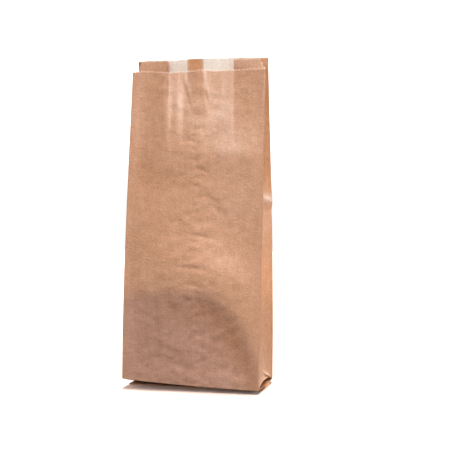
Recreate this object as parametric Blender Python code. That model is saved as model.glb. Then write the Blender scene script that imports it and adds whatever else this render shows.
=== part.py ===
"""A gusseted kraft paper bag with a pinched, folded-over bottom and a pinked, stepped mouth.

The bag is one sheet: a tube with a lapped seam down its back and a gusset tucked in at each side.
The tube's end is pinched flat, glued and turned under as a hem, and the opened bag stands on it.
Lengths are in metres, +X to the bag's right, +Y to its back, +Z up. The floor is z = 0 and the
origin lies on the flat underside, where the pinched line crosses the bag's middle.
"""

import bpy
import numpy as np

MM = 0.001

# The sheet and how it is folded
PANEL_WIDTH = 140 * MM
GUSSET_WIDTH = 70 * MM
FRONT_HEIGHT = 320.7 * MM
BACK_HEIGHT = 333.9 * MM
HEM_LENGTH = 16 * MM
PAPER = 0.3 * MM
LAYER_GAP = 0.1 * MM
SEAM_WIDTH = 17 * MM
SEAM_CENTRE = -7.5 * MM
SEAM_LAYERS = 2
SEAM_FADE = 16 * MM
TOOTH_PITCH = 2.8 * MM
TOOTH_DEPTH = 1.9 * MM
TOOTH_ROOT = 0.2 * MM
MOUTH_STEP_RUN = 9 * MM
GUSSET_DROP = 3.2 * MM

# How the opened bag stands
MOUTH_FRONT_Y = -4.2 * MM
MOUTH_BACK_Y = 8.3 * MM
MOUTH_SWAY = 1.6 * MM
MOUTH_GATHER = 1.5 * MM
FRONT_LIFT_LEFT = 9.5 * MM
FRONT_LIFT_RIGHT = 3.9 * MM
FRONT_LIFT_SAG = 0.9 * MM
BACK_LIFT = 4.6 * MM
FOOT_DEPTH = 12 * MM
POCKET_HEIGHT = 6.5 * MM
POCKET_LEAN = 0.35
POCKET_FADE = 1.5
BOTTOM_CURVE_FRONT = 1.2
BOTTOM_CURVE_BACK = 1.3
BOW_FRONT_LEFT = -6 * MM
BOW_FRONT_RIGHT = 3 * MM
BOW_BACK_LEFT = 4 * MM
BOW_BACK_RIGHT = 10.5 * MM
BUCKLE_LOW = 125 * MM
BUCKLE_HIGH = 200 * MM

# Relief pressed into the panels by use: a fold low on the front, level from the left and falling
# to the right corner
ARCH_HEIGHT = 93 * MM
ARCH_BEND_X = 12 * MM
ARCH_BEND_SOFTNESS = 8 * MM
ARCH_FALL = 1.2
ARCH_STEP = 2.2 * MM
ARCH_SOFTNESS = 12 * MM
ARCH_FADE = 45 * MM
ARCH_LEFT_STRENGTH = 0.45
ARCH_BLEND_LEFT = 25 * MM
ARCH_BLEND_RIGHT = 15 * MM

# Upright waves that open towards the mouth: how many cross the panel, their share, their phase
WAVES = ((3, 0.6, 0.6), (5, 0.4, -0.4))
WAVE_HEIGHT = 0.9 * MM
WAVE_REACH = 125 * MM
WAVE_SHARE_ON_BACK = 0.6

# One slow swelling that slants across the panel
PANEL_SWELL = 1.5 * MM
SWELL_TURNS = 1.15
SWELL_SLANT = 1.7
SWELL_SHARE_ON_BACK = 0.7

# Dents and bulges of the front: x, z, reach across, down and up in mm, turn in degrees, height in mm,
# and a power: 2 is round, 1 has a sharp ridge
DENTS = (
    (42, 238, 40, 60, 34, -1, 1.9, 1),
    (-24, 236, 24, 60, 70, 0, 1.2, 2),
    (-50, 214, 16, 20, 26, 8, -0.9, 2),
    (34, 190, 26, 14, 20, -24, 0.8, 2),
    (24, 120, 36, 40, 22, -24, 1.6, 1),
    (-24, 128, 26, 18, 24, 14, 0.7, 2),
    (-50, 44, 16, 24, 28, 0, 0.6, 2),
)
EDGE_CALM = 17.5 * MM

KRAFT = (0.52, 0.29, 0.15, 1.0)

# Where the mesh lines run: shares of half a gusset, and counts of rows
FOLD_SHARES = (0.0, 0.07, 0.22, 0.42, 0.64, 0.86, 1.0)
WALL_ROWS = 26
WALL_ROW_CROWDING = 1.15
NOSE_ROWS = 3
HEM_ROWS = 3
GLUED_ROWS = 1

# Where the hem's stack steps up to the tucked gussets' layers, in shares of half a gusset
STACK_STEP_START = -0.08
STACK_STEP_END = 0.04

# How far a mitred corner may reach, in half thicknesses of the paper
BLUNT_MITRE = 1.1
LONGEST_MITRE = 13.0
MITRE_SOFTENING = 2e-4

HALF_WIDTH = PANEL_WIDTH / 2
HALF_GUSSET = GUSSET_WIDTH / 2
INNER_X = HALF_WIDTH - HALF_GUSSET
SEAM_LEFT = SEAM_CENTRE - SEAM_WIDTH / 2
SEAM_RIGHT = SEAM_CENTRE + SEAM_WIDTH / 2
FRONT_TOP = FRONT_HEIGHT - TOOTH_DEPTH
BACK_TOP = BACK_HEIGHT - TOOTH_DEPTH
LAYER = PAPER + LAYER_GAP
SHEET_ON_FLOOR = PAPER / 2
FIRST_SHARE = FOLD_SHARES[1]
TINY = 1e-9


def mix(a, b, f):
    return a + (b - a) * f


def ramp(value, low, high):
    """0 below low, 1 above high, with a smooth rise between."""
    f = np.clip((value - low) / (high - low), 0, 1)
    return f * f * (3 - 2 * f)


def hump(f):
    """0 at both ends of 0..1 and 1 in the middle."""
    return 4 * f * (1 - f)


def by_side(x, left, right):
    """A value that runs straight from the left edge of a panel to its right edge."""
    return mix(left, right, (x + HALF_WIDTH) / PANEL_WIDTH)


# The upright fold lines and the panels between them, at a share w of the way up

def low_bow(w):
    return hump(w) * np.sqrt(1 - w)


def front_y(x, w):
    bow = by_side(x, BOW_FRONT_LEFT, BOW_FRONT_RIGHT)
    return mix(-HALF_GUSSET, MOUTH_FRONT_Y, w) + bow * low_bow(w)


def back_y(x, w):
    bow = by_side(x, BOW_BACK_LEFT, BOW_BACK_RIGHT)
    return mix(HALF_GUSSET, MOUTH_BACK_Y, w) + bow * low_bow(w)


def front_lift(x):
    """Height of the front bottom crease above the floor."""
    across = (x + HALF_WIDTH) / PANEL_WIDTH
    return by_side(x, FRONT_LIFT_LEFT, FRONT_LIFT_RIGHT) - FRONT_LIFT_SAG * hump(across)


def sheet_x(x, w):
    """Where a line drawn up the flat panel at x lies when the bag stands."""
    return x * (1 - MOUTH_GATHER / PANEL_WIDTH * w) + MOUTH_SWAY * w


# Relief, as a distance that a panel stands out

def arch_relief(x, z):
    """The lower front is set back below a fold that falls to the right corner as a hyperbola."""
    from_bend = x - ARCH_BEND_X
    above = z - ARCH_HEIGHT + ARCH_FALL * (from_bend + np.hypot(from_bend, ARCH_BEND_SOFTNESS)) / 2
    strength = mix(ARCH_LEFT_STRENGTH, 1, ramp(from_bend, -ARCH_BLEND_LEFT, ARCH_BLEND_RIGHT))
    fade = np.exp(-np.clip(above, 0, None) / ARCH_FADE) * ramp(z, 0, 2 * ARCH_SOFTNESS)
    return ARCH_STEP * strength * fade * np.tanh(above / ARCH_SOFTNESS)


def mouth_relief(x, z):
    """Upright waves across the panel, which open towards the mouth."""
    turn = 2 * np.pi * x / PANEL_WIDTH
    wave = sum(share * np.cos(count * turn + phase) for count, share, phase in WAVES)
    return WAVE_HEIGHT * wave * ramp(z, FRONT_TOP - WAVE_REACH, FRONT_TOP)


def swell_relief(x, w):
    """A little over one slow wave up the whole panel, slanting across it."""
    return PANEL_SWELL * hump(w) * np.sin(2 * np.pi * SWELL_TURNS * w + SWELL_SLANT * x / HALF_WIDTH)


def dent_relief(x, z):
    """The sum of the dents and bulges, each one a turned bell with its own reach down and up."""
    total = 0
    for centre_x, centre_z, wide, down, up, turn, height, power in DENTS:
        angle = np.radians(turn)
        dx = x / MM - centre_x
        dz = z / MM - centre_z
        across = (dx * np.cos(angle) + dz * np.sin(angle)) / wide
        along = dz * np.cos(angle) - dx * np.sin(angle)
        along = np.abs(along / np.where(along > 0, up, down))
        total += height * MM * np.exp(-across ** 2 - along ** power)
    return total


def edge_window(x):
    """Relief dies out before the upright folds, where the gusset lies close behind."""
    return ramp(HALF_WIDTH - np.abs(x), 0, EDGE_CALM)


def front_wall(x, w):
    z = mix(front_lift(x), FRONT_TOP, w)
    relief = arch_relief(x, z) + mouth_relief(x, z) + swell_relief(x, w) + dent_relief(x, z)
    return np.array([sheet_x(x, w), front_y(x, w) - relief * edge_window(x), z])


def back_wall(x, w):
    z = mix(BACK_LIFT, BACK_TOP, w)
    relief = WAVE_SHARE_ON_BACK * mouth_relief(-x, z) + SWELL_SHARE_ON_BACK * swell_relief(-x, w)
    return np.array([sheet_x(x, w), back_y(x, w) + relief * edge_window(x), z])


# The gussets, at a from -1 at the front fold to 1 at the back fold, 0 at the inner crease

def pocket(a):
    """Height of the gusset's bottom edge above its two corners, most a little to the front."""
    return POCKET_HEIGHT * (1 - a * a) * (1 - POCKET_LEAN * a)


def gusset_top(a):
    """The mouth's edge steps up from the front's height to the back's, a little short of it."""
    step = ramp(a, -1, -1 + MOUTH_STEP_RUN / HALF_GUSSET)
    return mix(FRONT_TOP, BACK_TOP - GUSSET_DROP * (1 - a) / 2, step)


def gusset_wall(side, a, w):
    """A soft bow low down, which buckles into a sharp V higher up."""
    edge = side * HALF_WIDTH
    depth = back_y(edge, w) - front_y(edge, w)
    slack = max(GUSSET_WIDTH - depth, 0)
    low = mix(front_lift(edge), BACK_LIFT, (a + 1) / 2) + pocket(a)
    z = mix(low, gusset_top(a), w)
    sharp = np.sqrt(max(HALF_GUSSET ** 2 - (depth / 2) ** 2, 0)) * (1 - abs(a))
    soft = np.sqrt(3 / 8 * slack * depth) * (1 - a * a)
    inward = mix(soft, sharp, ramp(z, BUCKLE_LOW, BUCKLE_HIGH))
    y = mix(front_y(edge, w), back_y(edge, w), (a + 1) / 2)
    return np.array([sheet_x(edge, w) - side * inward, y, z])


# The bottom: two halves that run from the creases, t = 0, to the pinched line, t = 1

def stack_top(x):
    """The hem's highest layer: 1, or 3 near the ends, where the tucked gussets add two."""
    reach = abs(x) - INNER_X
    return 1 + 2 * ramp(reach, STACK_STEP_START * HALF_GUSSET, STACK_STEP_END * HALF_GUSSET)


def layer_z(layer):
    return SHEET_ON_FLOOR + layer * LAYER


def front_bottom(x, t):
    z = mix(layer_z(stack_top(x) + 1), front_lift(x), (1 - t) ** BOTTOM_CURVE_FRONT)
    return np.array([x, -HALF_GUSSET * (1 - t), z])


def back_bottom(x, t):
    y = HALF_GUSSET * (1 - t)
    rise = max(y - FOOT_DEPTH, 0) / (HALF_GUSSET - FOOT_DEPTH)
    return np.array([x, y, mix(layer_z(0), BACK_LIFT, rise ** BOTTOM_CURVE_BACK)])


def gusset_bottom(side, a, t):
    """Near the folds the gusset lies on the bottom. Inside the diagonals it spans the two halves."""
    share = 1 - abs(a)
    layer = LAYER * min(t / FIRST_SHARE, 1)
    if share < t - TINY or t == 1:
        half = front_bottom if a < 0 else back_bottom
        lie = half(side * (HALF_WIDTH - HALF_GUSSET * share), t)
        lie[2] += layer * min(0.5 + 0.5 * share / FIRST_SHARE, 1)
        if share > 1 - TINY:
            lie[2] = (lie[2] + back_bottom(lie[0], t)[2] + layer) / 2
        return lie
    x = side * (HALF_WIDTH - HALF_GUSSET * t)
    across = a / (1 - t)
    point = mix(front_bottom(x, t), back_bottom(x, t), (across + 1) / 2)
    point[2] += 1.5 * layer + (1 - t) ** POCKET_FADE * pocket(across)
    return point


# The hem: every layer goes on past the pinched line, and the upper ones turn over to lie under
# the front half

def hem_point(x, layer, turn, run):
    """A point of one layer, at a share of the turn round the nose, then of the run to the cut."""
    top = stack_top(x)
    y = -HEM_LENGTH * run
    if layer < top / 2:
        return np.array([x, y - LAYER * turn * (1 - run), layer_z(layer)])
    axis_z = layer_z(top + 0.5)
    radius = axis_z - layer_z(layer)
    angle = np.pi * turn
    return np.array([x, y + radius * np.sin(angle), axis_z + radius * np.cos(angle)])


def hem_gusset(side, a, turn, run):
    x = side * (HALF_WIDTH - HALF_GUSSET * (1 - abs(a)))
    upper, lower = hem_point(x, 2, turn, run), hem_point(x, 1, turn, run)
    if abs(a) < TINY:
        return (upper + lower) / 2
    tucked, panel = (upper, 3) if a < 0 else (lower, 0)
    if abs(a) > 1 - TINY:
        return (tucked + hem_point(x, panel, turn, run)) / 2
    return tucked


# The sheet is a grid: lines across it make one closed loop, rows run from the hem to the mouth

def panel_lines():
    """Places across a panel: over the tucked gussets, both edges of the seam, and between."""
    ends = [HALF_WIDTH - HALF_GUSSET * share for share in FOLD_SHARES]
    middle = [mix(-INNER_X, SEAM_LEFT, 0.5), SEAM_LEFT - PAPER, SEAM_LEFT, SEAM_CENTRE]
    middle += [SEAM_RIGHT, SEAM_RIGHT + PAPER]
    middle += [mix(SEAM_RIGHT, INNER_X, share) for share in (0.34, 0.67)]
    return sorted([-x for x in ends] + middle + ends)


def gusset_lines(side):
    """Places across a gusset, from its front fold to its back fold, under the panel's own lines."""
    over = sorted(HALF_WIDTH - side * x for x in panel_lines() if side * x > INNER_X - TINY)
    shares = [round(distance / HALF_GUSSET, 9) for distance in over]
    return [share - 1 for share in shares] + [1 - share for share in shares[-2::-1]]


def sheet_lines():
    across = panel_lines()
    loop = [("front", 0, x) for x in across[:-1]]
    loop += [("gusset", 1, a) for a in gusset_lines(1)[:-1]]
    loop += [("back", 0, x) for x in across[:0:-1]]
    loop += [("gusset", -1, a) for a in gusset_lines(-1)[:0:-1]]
    return loop


def sheet_point(line, zone, where):
    """The middle of the paper on one line of the sheet and one row. The folds are the gusset's."""
    kind, side, place = line
    if kind != "gusset" and abs(place) > HALF_WIDTH - TINY:
        kind, side, place = "gusset", np.sign(place), -1 if kind == "front" else 1
    if zone == "hem":
        if kind == "gusset":
            return hem_gusset(side, place, *where)
        return hem_point(place, stack_top(place) if kind == "front" else 0, *where)
    if kind == "gusset":
        return (gusset_wall if zone == "wall" else gusset_bottom)(side, place, where)
    if zone == "wall":
        return (front_wall if kind == "front" else back_wall)(place, where)
    return (front_bottom if kind == "front" else back_bottom)(place, where)


def sheet_rows():
    rows = [("hem", (1, k / HEM_ROWS)) for k in range(HEM_ROWS, 0, -1)]
    rows += [("hem", (k / NOSE_ROWS, 0)) for k in range(NOSE_ROWS, 0, -1)]
    rows += [("bottom", t) for t in FOLD_SHARES[:0:-1]]
    rows += [("wall", w) for w in np.linspace(0, 1, WALL_ROWS + 1) ** WALL_ROW_CROWDING]
    return rows


def triangles_between(row, lines, points):
    """Two triangles for each cell of the grid. On a gusset they follow the diagonal fold."""
    for j in range(len(lines)):
        k = (j + 1) % len(lines)
        corners = [(row, j), (row, k), (row + 1, k), (row + 1, j)]
        gusset = next((line for line in (lines[j], lines[k]) if line[0] == "gusset"), None)
        if gusset:
            falling = (gusset[2] < 0) == (gusset[1] > 0)
        else:
            a, b, c, d = (points[corner] for corner in corners)
            falling = np.linalg.norm(b - d) < np.linalg.norm(a - c)
        if falling:
            corners = corners[1:] + corners[:1]
        yield corners[0], corners[1], corners[2]
        yield corners[0], corners[2], corners[3]


def glued_faces(lines):
    """Faces across the pinched end, as line numbers: they join each layer to its neighbour."""
    stacks = {}
    for j, (kind, side, place) in enumerate(lines):
        gusset = kind == "gusset"
        x = side * (INNER_X + HALF_GUSSET * abs(place)) if gusset else place
        depth = place / 2 if gusset else (-2 if kind == "front" else 2)
        stacks.setdefault(round(x, 8), []).append((depth, j))
    faces = []
    columns = []
    for x in sorted(stacks):
        stack = [j for _, j in sorted(stacks[x])]
        if len(stack) == 3:
            front, crease, back = stack
            faces.append([front, crease, back] if x < 0 else [front, back, crease])
            stack = [front, crease, crease, back]
        elif abs(x) > HALF_WIDTH - TINY:
            stack = [stack[0], stack[0], stack[1], stack[1]]
        columns.append(stack)
    for near, far in zip(columns, columns[1:]):
        pairs = [(0, -1)] if min(len(near), len(far)) == 2 else [(0, 1), (2, 3)]
        for a, b in pairs:
            faces.append(list(dict.fromkeys([far[a], near[a], near[b], far[b]])))
    return faces


# The paper's thickness

def unit(vectors):
    return vectors / np.linalg.norm(vectors, axis=-1, keepdims=True)


def mitred_offsets(points, triangles):
    """For each point, the vector to the sheet's outer face, and the vector to its inner face.

    Each lies in the mitre of the faces around it. The hollow side of a fold takes the full mitre,
    and the side that stands out is blunt, as creased paper is.
    """
    flat = points.reshape(-1, 3)
    corners = flat[triangles]
    normal = unit(np.cross(corners[:, 1] - corners[:, 0], corners[:, 2] - corners[:, 0]))
    matrix = np.zeros((len(flat), 3, 3))
    total = np.zeros((len(flat), 3))
    inwards = np.zeros((len(flat), 3))
    for k in range(3):
        one = unit(corners[:, (k + 1) % 3] - corners[:, k])
        two = unit(corners[:, (k + 2) % 3] - corners[:, k])
        angle = np.arccos(np.clip((one * two).sum(1), -1, 1))[:, None]
        square = normal[:, :, None] * normal[:, None, :] + MITRE_SOFTENING * np.eye(3)
        np.add.at(matrix, triangles[:, k], angle[:, :, None] * square)
        np.add.at(total, triangles[:, k], angle * normal)
        np.add.at(inwards, triangles[:, k], angle * (one + two))
    mitre = np.linalg.solve(matrix, total[:, :, None])[:, :, 0]
    length = np.linalg.norm(mitre, axis=1, keepdims=True)
    blunt = mitre * np.minimum(1, BLUNT_MITRE / length)
    full = mitre * np.minimum(1, LONGEST_MITRE / length)
    stands_out = ((inwards * mitre).sum(1) < 0)[:, None]
    outer = np.where(stands_out, blunt, full) * PAPER / 2
    inner = -np.where(stands_out, full, blunt) * PAPER / 2
    return outer.reshape(points.shape), inner.reshape(points.shape)


def seam_growth(lines, rows):
    """How many times thicker the outer half of the paper is: the seam laps, and fades out low down."""
    growth = np.ones((len(rows), len(lines), 1))
    for i, (zone, where) in enumerate(rows):
        for j, (kind, _, place) in enumerate(lines):
            lapped = kind == "back" and SEAM_LEFT - TINY < place < SEAM_RIGHT + TINY
            if lapped and zone == "wall":
                growth[i, j] += 2 * (SEAM_LAYERS - 1) * min(where * BACK_HEIGHT / SEAM_FADE, 1)
    return growth


# The pinked mouth

def pinked_edge(top, outer, inner, below):
    """Zigzag points above the top row, for the outer and the inner face, and each one's line."""
    loop = np.vstack([top, top[:1]])
    length = np.append(0, np.cumsum(np.linalg.norm(np.diff(loop, axis=0), axis=1)))
    teeth = round(length[-1] / TOOTH_PITCH)
    distance = np.arange(2 * teeth) * length[-1] / (2 * teeth)
    line = np.searchsorted(length, distance, side="right") - 1
    share = (distance - length[line]) / (length[line + 1] - length[line])
    rise = np.where(np.arange(2 * teeth) % 2 == 0, TOOTH_ROOT, TOOTH_DEPTH)

    def along(values):
        return mix(values[line], np.roll(values, -1, axis=0)[line], share[:, None])

    edge = along(top) + along(unit(top - below)) * rise[:, None]
    return edge + along(outer), edge + along(inner), line + share


def zip_loops(low, low_place, high, high_place):
    """Triangles between two closed loops whose points carry their place along the loop."""
    n, m = len(low), len(high)
    low_place = [*low_place, n + low_place[0]]
    high_place = [*high_place, n + high_place[0]]
    i = j = 0
    while i < n or j < m:
        if j == m or (i < n and low_place[i + 1] <= high_place[j + 1]):
            yield low[i], low[(i + 1) % n], high[j % m]
            i += 1
        else:
            yield low[i % n], high[(j + 1) % m], high[j]
            j += 1


def build_bag():
    lines = sheet_lines()
    rows = sheet_rows()
    count = len(lines)
    points = np.array([[sheet_point(line, *row) for line in lines] for row in rows])
    cells = [t for row in range(len(rows) - 1) for t in triangles_between(row, lines, points)]
    triangles = np.array([[i * count + j for i, j in cell] for cell in cells])
    outer, inner = mitred_offsets(points, triangles)
    outer *= seam_growth(lines, rows)
    edge_out, edge_in, edge_place = pinked_edge(points[-1], outer[-1], inner[-1], points[-2])

    # The inner face starts above the glued end of the hem
    glued = GLUED_ROWS * count
    outside = (points + outer).reshape(-1, 3)
    inside = (points + inner).reshape(-1, 3)[glued:]
    verts = np.vstack([outside, inside, edge_out, edge_in])
    to_inside = len(outside) - glued
    first_edge = len(outside) + len(inside)
    teeth = len(edge_out)

    faces = [tuple(t) for t in triangles]
    faces += [tuple(t[::-1] + to_inside) for t in triangles if t.min() >= glued]
    for face in glued_faces(lines):
        faces.append(tuple(face))
        faces.append(tuple(len(outside) + j for j in reversed(face)))
    top = [(len(rows) - 1) * count + j for j in range(count)]
    edge = [first_edge + k for k in range(teeth)]
    for face in zip_loops(top, range(count), edge, edge_place):
        faces.append(face)
        faces.append(tuple(v + (teeth if v >= first_edge else to_inside) for v in reversed(face)))
    for k in range(teeth):
        a, b = edge[k], edge[(k + 1) % teeth]
        faces.append((a, b, b + teeth, a + teeth))

    mesh = bpy.data.meshes.new("paper_bag")
    mesh.from_pydata([tuple(v) for v in verts], [], faces)
    mesh.validate()
    bag = bpy.data.objects.new("paper_bag", mesh)
    bpy.context.scene.collection.objects.link(bag)
    return bag


def kraft_paper():
    material = bpy.data.materials.new("kraft_paper")
    material.use_nodes = True
    shader = material.node_tree.nodes["Principled BSDF"]
    shader.inputs["Base Color"].default_value = KRAFT
    shader.inputs["Roughness"].default_value = 0.75
    shader.inputs["Metallic"].default_value = 0.0
    return material


def clear_scene():
    for obj in list(bpy.data.objects):
        bpy.data.objects.remove(obj, do_unlink=True)


clear_scene()
paper_bag = build_bag()
paper_bag.data.materials.append(kraft_paper())
paper_bag.data.shade_smooth()
paper_bag.data.set_sharp_from_angle(angle=0.6)
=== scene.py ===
import math
import bpy
import numpy as np
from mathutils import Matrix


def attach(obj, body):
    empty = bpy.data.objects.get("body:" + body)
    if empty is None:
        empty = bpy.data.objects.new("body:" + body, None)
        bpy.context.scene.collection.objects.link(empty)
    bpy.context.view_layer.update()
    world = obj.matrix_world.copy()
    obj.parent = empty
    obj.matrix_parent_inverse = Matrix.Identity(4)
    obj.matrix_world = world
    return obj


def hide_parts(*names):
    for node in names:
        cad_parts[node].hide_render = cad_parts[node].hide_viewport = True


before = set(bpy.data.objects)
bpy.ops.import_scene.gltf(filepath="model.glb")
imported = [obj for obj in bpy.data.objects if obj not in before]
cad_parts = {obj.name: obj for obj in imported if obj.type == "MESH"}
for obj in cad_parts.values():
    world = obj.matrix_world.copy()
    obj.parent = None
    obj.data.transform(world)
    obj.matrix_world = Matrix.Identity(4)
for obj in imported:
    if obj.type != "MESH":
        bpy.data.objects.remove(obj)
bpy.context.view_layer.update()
print("frame loaded")

mm = 0.001


# hex colour as a paint shop gives it, turned to the linear numbers that a shader takes
def hexColour(code):
    parts = [int(code[k:k + 2], 16) / 255 for k in (0, 2, 4)]
    return [c / 12.92 if c <= 0.04045 else ((c + 0.055) / 1.055) ** 2.4 for c in parts] + [1.0]


# one node with its settings, and its links given as socket: (node, output)
def addNode(tree, kind, links=None, values=None, **settings):
    node = tree.nodes.new(kind)
    for key, value in settings.items():
        setattr(node, key, value)
    for key, value in (values or {}).items():
        node.inputs[key].default_value = value
    for key, (source, output) in (links or {}).items():
        tree.links.new(source.outputs[output], node.inputs[key])
    return node


bag = {
    "panelWidth": 140 * mm,
    "gussetWidth": 70 * mm,
    "frontHeight": 320.7 * mm,  # to the tips of the teeth
    "backHeight": 333.9 * mm,
    "hemLength": 16 * mm,
    "paper": 0.3 * mm,
    "layerGap": 0.1 * mm,
    "seamWidth": 17 * mm,
    "seamCentre": -7.5 * mm,
    "seamFade": 16 * mm,  # above the floor, where the lap has its full thickness
    "toothPitch": 2.8 * mm,
    "toothDepth": 1.9 * mm,
    "toothRoot": 0.2 * mm,  # the roots' height over the same line
    "toothWear": ((0.16, 2.3), (0.10, 0.37)),  # how much and how fast the tips' depth changes along the cut
    "cutBand": 0.55 * mm,  # painted light along the cut: a paler band, from this far below it
    "tipBand": 0.3,  # on a tip, from this share of its depth
    "cutPale": (0.9, 0.1),  # how pale the cut is at a tip and at a root
    "bandPale": (0.5, 0.0),  # and the band's lower edge
    "frontDrop": 0.4 * mm,  # the front's cut lies this much lower all along
    # the front's cut climbs to its left corner (how far, between which places) and swells near the
    # middle (how far, where, half width); the back's climbs from its right corner (how far, within)
    "cornerRise": (1.7 * mm, 30 * mm, 58 * mm),
    "frontSwell": (1.4 * mm, 4 * mm, 8 * mm),
    "backRise": (1.2 * mm, 30 * mm),
    "backSwell": (0.9 * mm, -3 * mm, 22 * mm),
    "mouthStepLeft": (5.5 * mm, 9.5 * mm),  # where the cut climbs to the back's height, from the front fold
    "mouthStepRight": (-1.0 * mm, 8.5 * mm),
    "gussetDrop": 3.2 * mm,  # how much lower it starts from there
    "mouthFrontY": -7.2 * mm,
    "mouthBackY": 8.3 * mm,
    "mouthSway": 1.6 * mm,  # to the right
    "mouthGather": (0.0 * mm, 1.5 * mm),  # front, back
    "frontLiftLeft": 9.5 * mm,  # how high the bottom's creases stand off the floor
    "frontLiftRight": 3.9 * mm,
    "frontLiftSag": 0.9 * mm,
    "backLift": 4.6 * mm,
    "footDepth": 12 * mm,  # the bottom lies on the floor this far back
    "pocketHeight": 5.0 * mm,
    "pocketLean": 0.35,
    "pocketFade": 1.5,  # the power at which it closes towards the pinched line
    "bottomCurve": (1.2, 1.3),  # how the bottom's front and back halves rise, also as powers
    "stackEdge": (-0.08, 0.04),  # where the hem's stack grows, in half gussets from the gusset's edge
    "bowFront": (-6 * mm, 3 * mm),  # left edge, right edge
    "bowBack": (4 * mm, 10.5 * mm),
    "buckle": (125 * mm, 200 * mm),  # where the gusset's bow turns into a sharp V
    "archHeight": 93 * mm,  # level on the left
    "archBend": 5 * mm,  # where it starts to turn down to the right
    "archSpan": 62 * mm,  # so far on it has fallen by as much
    "archStep": 2.2 * mm,
    "archSoftness": 12 * mm,
    "archFade": 45 * mm,
    "archLeft": (0.45, 18 * mm, 22 * mm),  # its strength on the left, and how far round the bend it grows
    "waves": ((0.6, 3, 0.6), (0.4, 5, -0.4)),  # below the mouth: share, how many cross the panel, phase
    "waveHeight": 0.9 * mm,
    "waveReach": 125 * mm,
    "panelSwell": 1.5 * mm,
    "swellRun": (2.3, 1.7),  # half turns up the panel, slant across half of it
    "backShares": (0.6, 0.7, 0.5),  # what the back has of the front's waves, swell and fine relief
    "edgeCalm": 17.5 * mm,  # the relief dies out so far from the folds
    "linesOnFront": 112,
    "linesOnBack": 56,
    "linesOnHalfGusset": 28,
    "wallRows": 231,
    "footCrowd": (0.6, 6),  # how much closer together they lie at the foot, and how fast that ends
    "innerStep": 3,  # the inner face takes every third row of the walls
    "underStep": 1.3 * mm,  # and lies under the lowest of seven places this far apart
    "mitreLimits": (1.1, 6),  # half thicknesses that a fold's outer and inner corner may stand out
    "sharpAngle": 0.9,  # radians; edges that turn further are drawn sharp
    "noseRows": 5,
    "hemRows": 2,
    "bottomSteps": (1, 2, 3, 4, 6, 8, 10, 12, 14, 17, 20, 24, 28),  # 28ths of half a gusset
}

halfWidth = bag["panelWidth"] / 2
halfGusset = bag["gussetWidth"] / 2
innerX = halfWidth - halfGusset
seamLeft = bag["seamCentre"] - bag["seamWidth"] / 2
seamRight = bag["seamCentre"] + bag["seamWidth"] / 2
frontTop = bag["frontHeight"] - bag["toothDepth"]
backTop = bag["backHeight"] - bag["toothDepth"]
layer = bag["paper"] + bag["layerGap"]
tiny = 1e-9


def mix(a, b, f):
    return a + (b - a) * f


# 0 below low, 1 above high, a smooth rise between
def ramp(value, low, high):
    f = np.clip((value - low) / (high - low), 0, 1)
    return f * f * (3 - 2 * f)


# a parabola, 0 at both ends of 0..1 and 1 in the middle
def hump(f):
    return 4 * f * (1 - f)


# rises between the first two places and falls between the last two
def window(x, a, b, c, d):
    return ramp(x, a, b) * ramp(-x, -d, -c)


# a bell, 1 at 0 and fading to nothing by about two widths
def bell(distance, width):
    return np.exp(-(distance / width) ** 2)


def place(x, y, z):
    return np.stack(np.broadcast_arrays(x, y, z), axis=-1)


# from the panel's left edge to its right
def bySide(x, ends):
    return mix(*ends, (x + halfWidth) / bag["panelWidth"])


# the panels bow most below the middle: a hump times the root of what is left above
def lowBow(w):
    return hump(w) * np.sqrt(1 - w)


# straight from half a gusset forward at the floor to the mouth, plus the bow
def frontY(x, w):
    return mix(-halfGusset, bag["mouthFrontY"], w) + bySide(x, bag["bowFront"]) * lowBow(w)


def backY(x, w):
    return mix(halfGusset, bag["mouthBackY"], w) + bySide(x, bag["bowBack"]) * lowBow(w)


def frontLift(x):
    across = (x + halfWidth) / bag["panelWidth"]
    return mix(bag["frontLiftLeft"], bag["frontLiftRight"], across) - bag["frontLiftSag"] * hump(across)


# the cut's height: level, with a smooth climb to one corner and a bell near the middle
def frontEdge(x):
    climb, start, end = bag["cornerRise"]
    swell, middle, width = bag["frontSwell"]
    return frontTop - bag["frontDrop"] + climb * ramp(-x, start, end) + swell * bell(x - middle, width)


def backEdge(x):
    climb, reach = bag["backRise"]
    swell, middle, width = bag["backSwell"]
    return backTop + climb * ramp(halfWidth - x, 0, reach) + swell * bell(x - middle, width)


# the panel's own x, which sways to the right towards the mouth; the back is drawn in there a little
def sheetX(x, w, backShare):
    gather = mix(*bag["mouthGather"], backShare)
    return x * (1 - gather / bag["panelWidth"] * w) + bag["mouthSway"] * w


# the arch's own height: level on the left, a parabola down to the right corner
def archHeight(x):
    return bag["archHeight"] - np.clip(x - bag["archBend"], 0, None) ** 2 / bag["archSpan"]


# how far a point lies above the arch, square to it
def archDistance(x, z):
    slope = 2 * np.clip(x - bag["archBend"], 0, None) / bag["archSpan"]
    return (z - archHeight(x)) / np.hypot(1, slope)


# a tanh step across the arch, fading out above it
def archRelief(x, z):
    above = archDistance(x, z)
    left, before, after = bag["archLeft"]
    strength = mix(left, 1, ramp(x, bag["archBend"] - before, bag["archBend"] + after))
    fade = np.exp(-np.clip(above, 0, None) / bag["archFade"]) * ramp(z, 0, 2 * bag["archSoftness"])
    return bag["archStep"] * strength * fade * np.tanh(above / bag["archSoftness"])


# cosines across the panel, which open towards the mouth
def mouthRelief(x, z):
    phase = 2 * np.pi * x / bag["panelWidth"]
    wave = sum(share * np.cos(count * phase + shift) for share, count, shift in bag["waves"])
    return bag["waveHeight"] * wave * ramp(z, frontTop - bag["waveReach"], frontTop)


# one slow sine that slants across the panel
def swellRelief(x, w):
    turns, slant = bag["swellRun"]
    return bag["panelSwell"] * hump(w) * np.sin(turns * np.pi * w + slant * x / halfWidth)


def edgeWindow(x):
    return ramp(halfWidth - np.abs(x), 0, bag["edgeCalm"])


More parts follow.
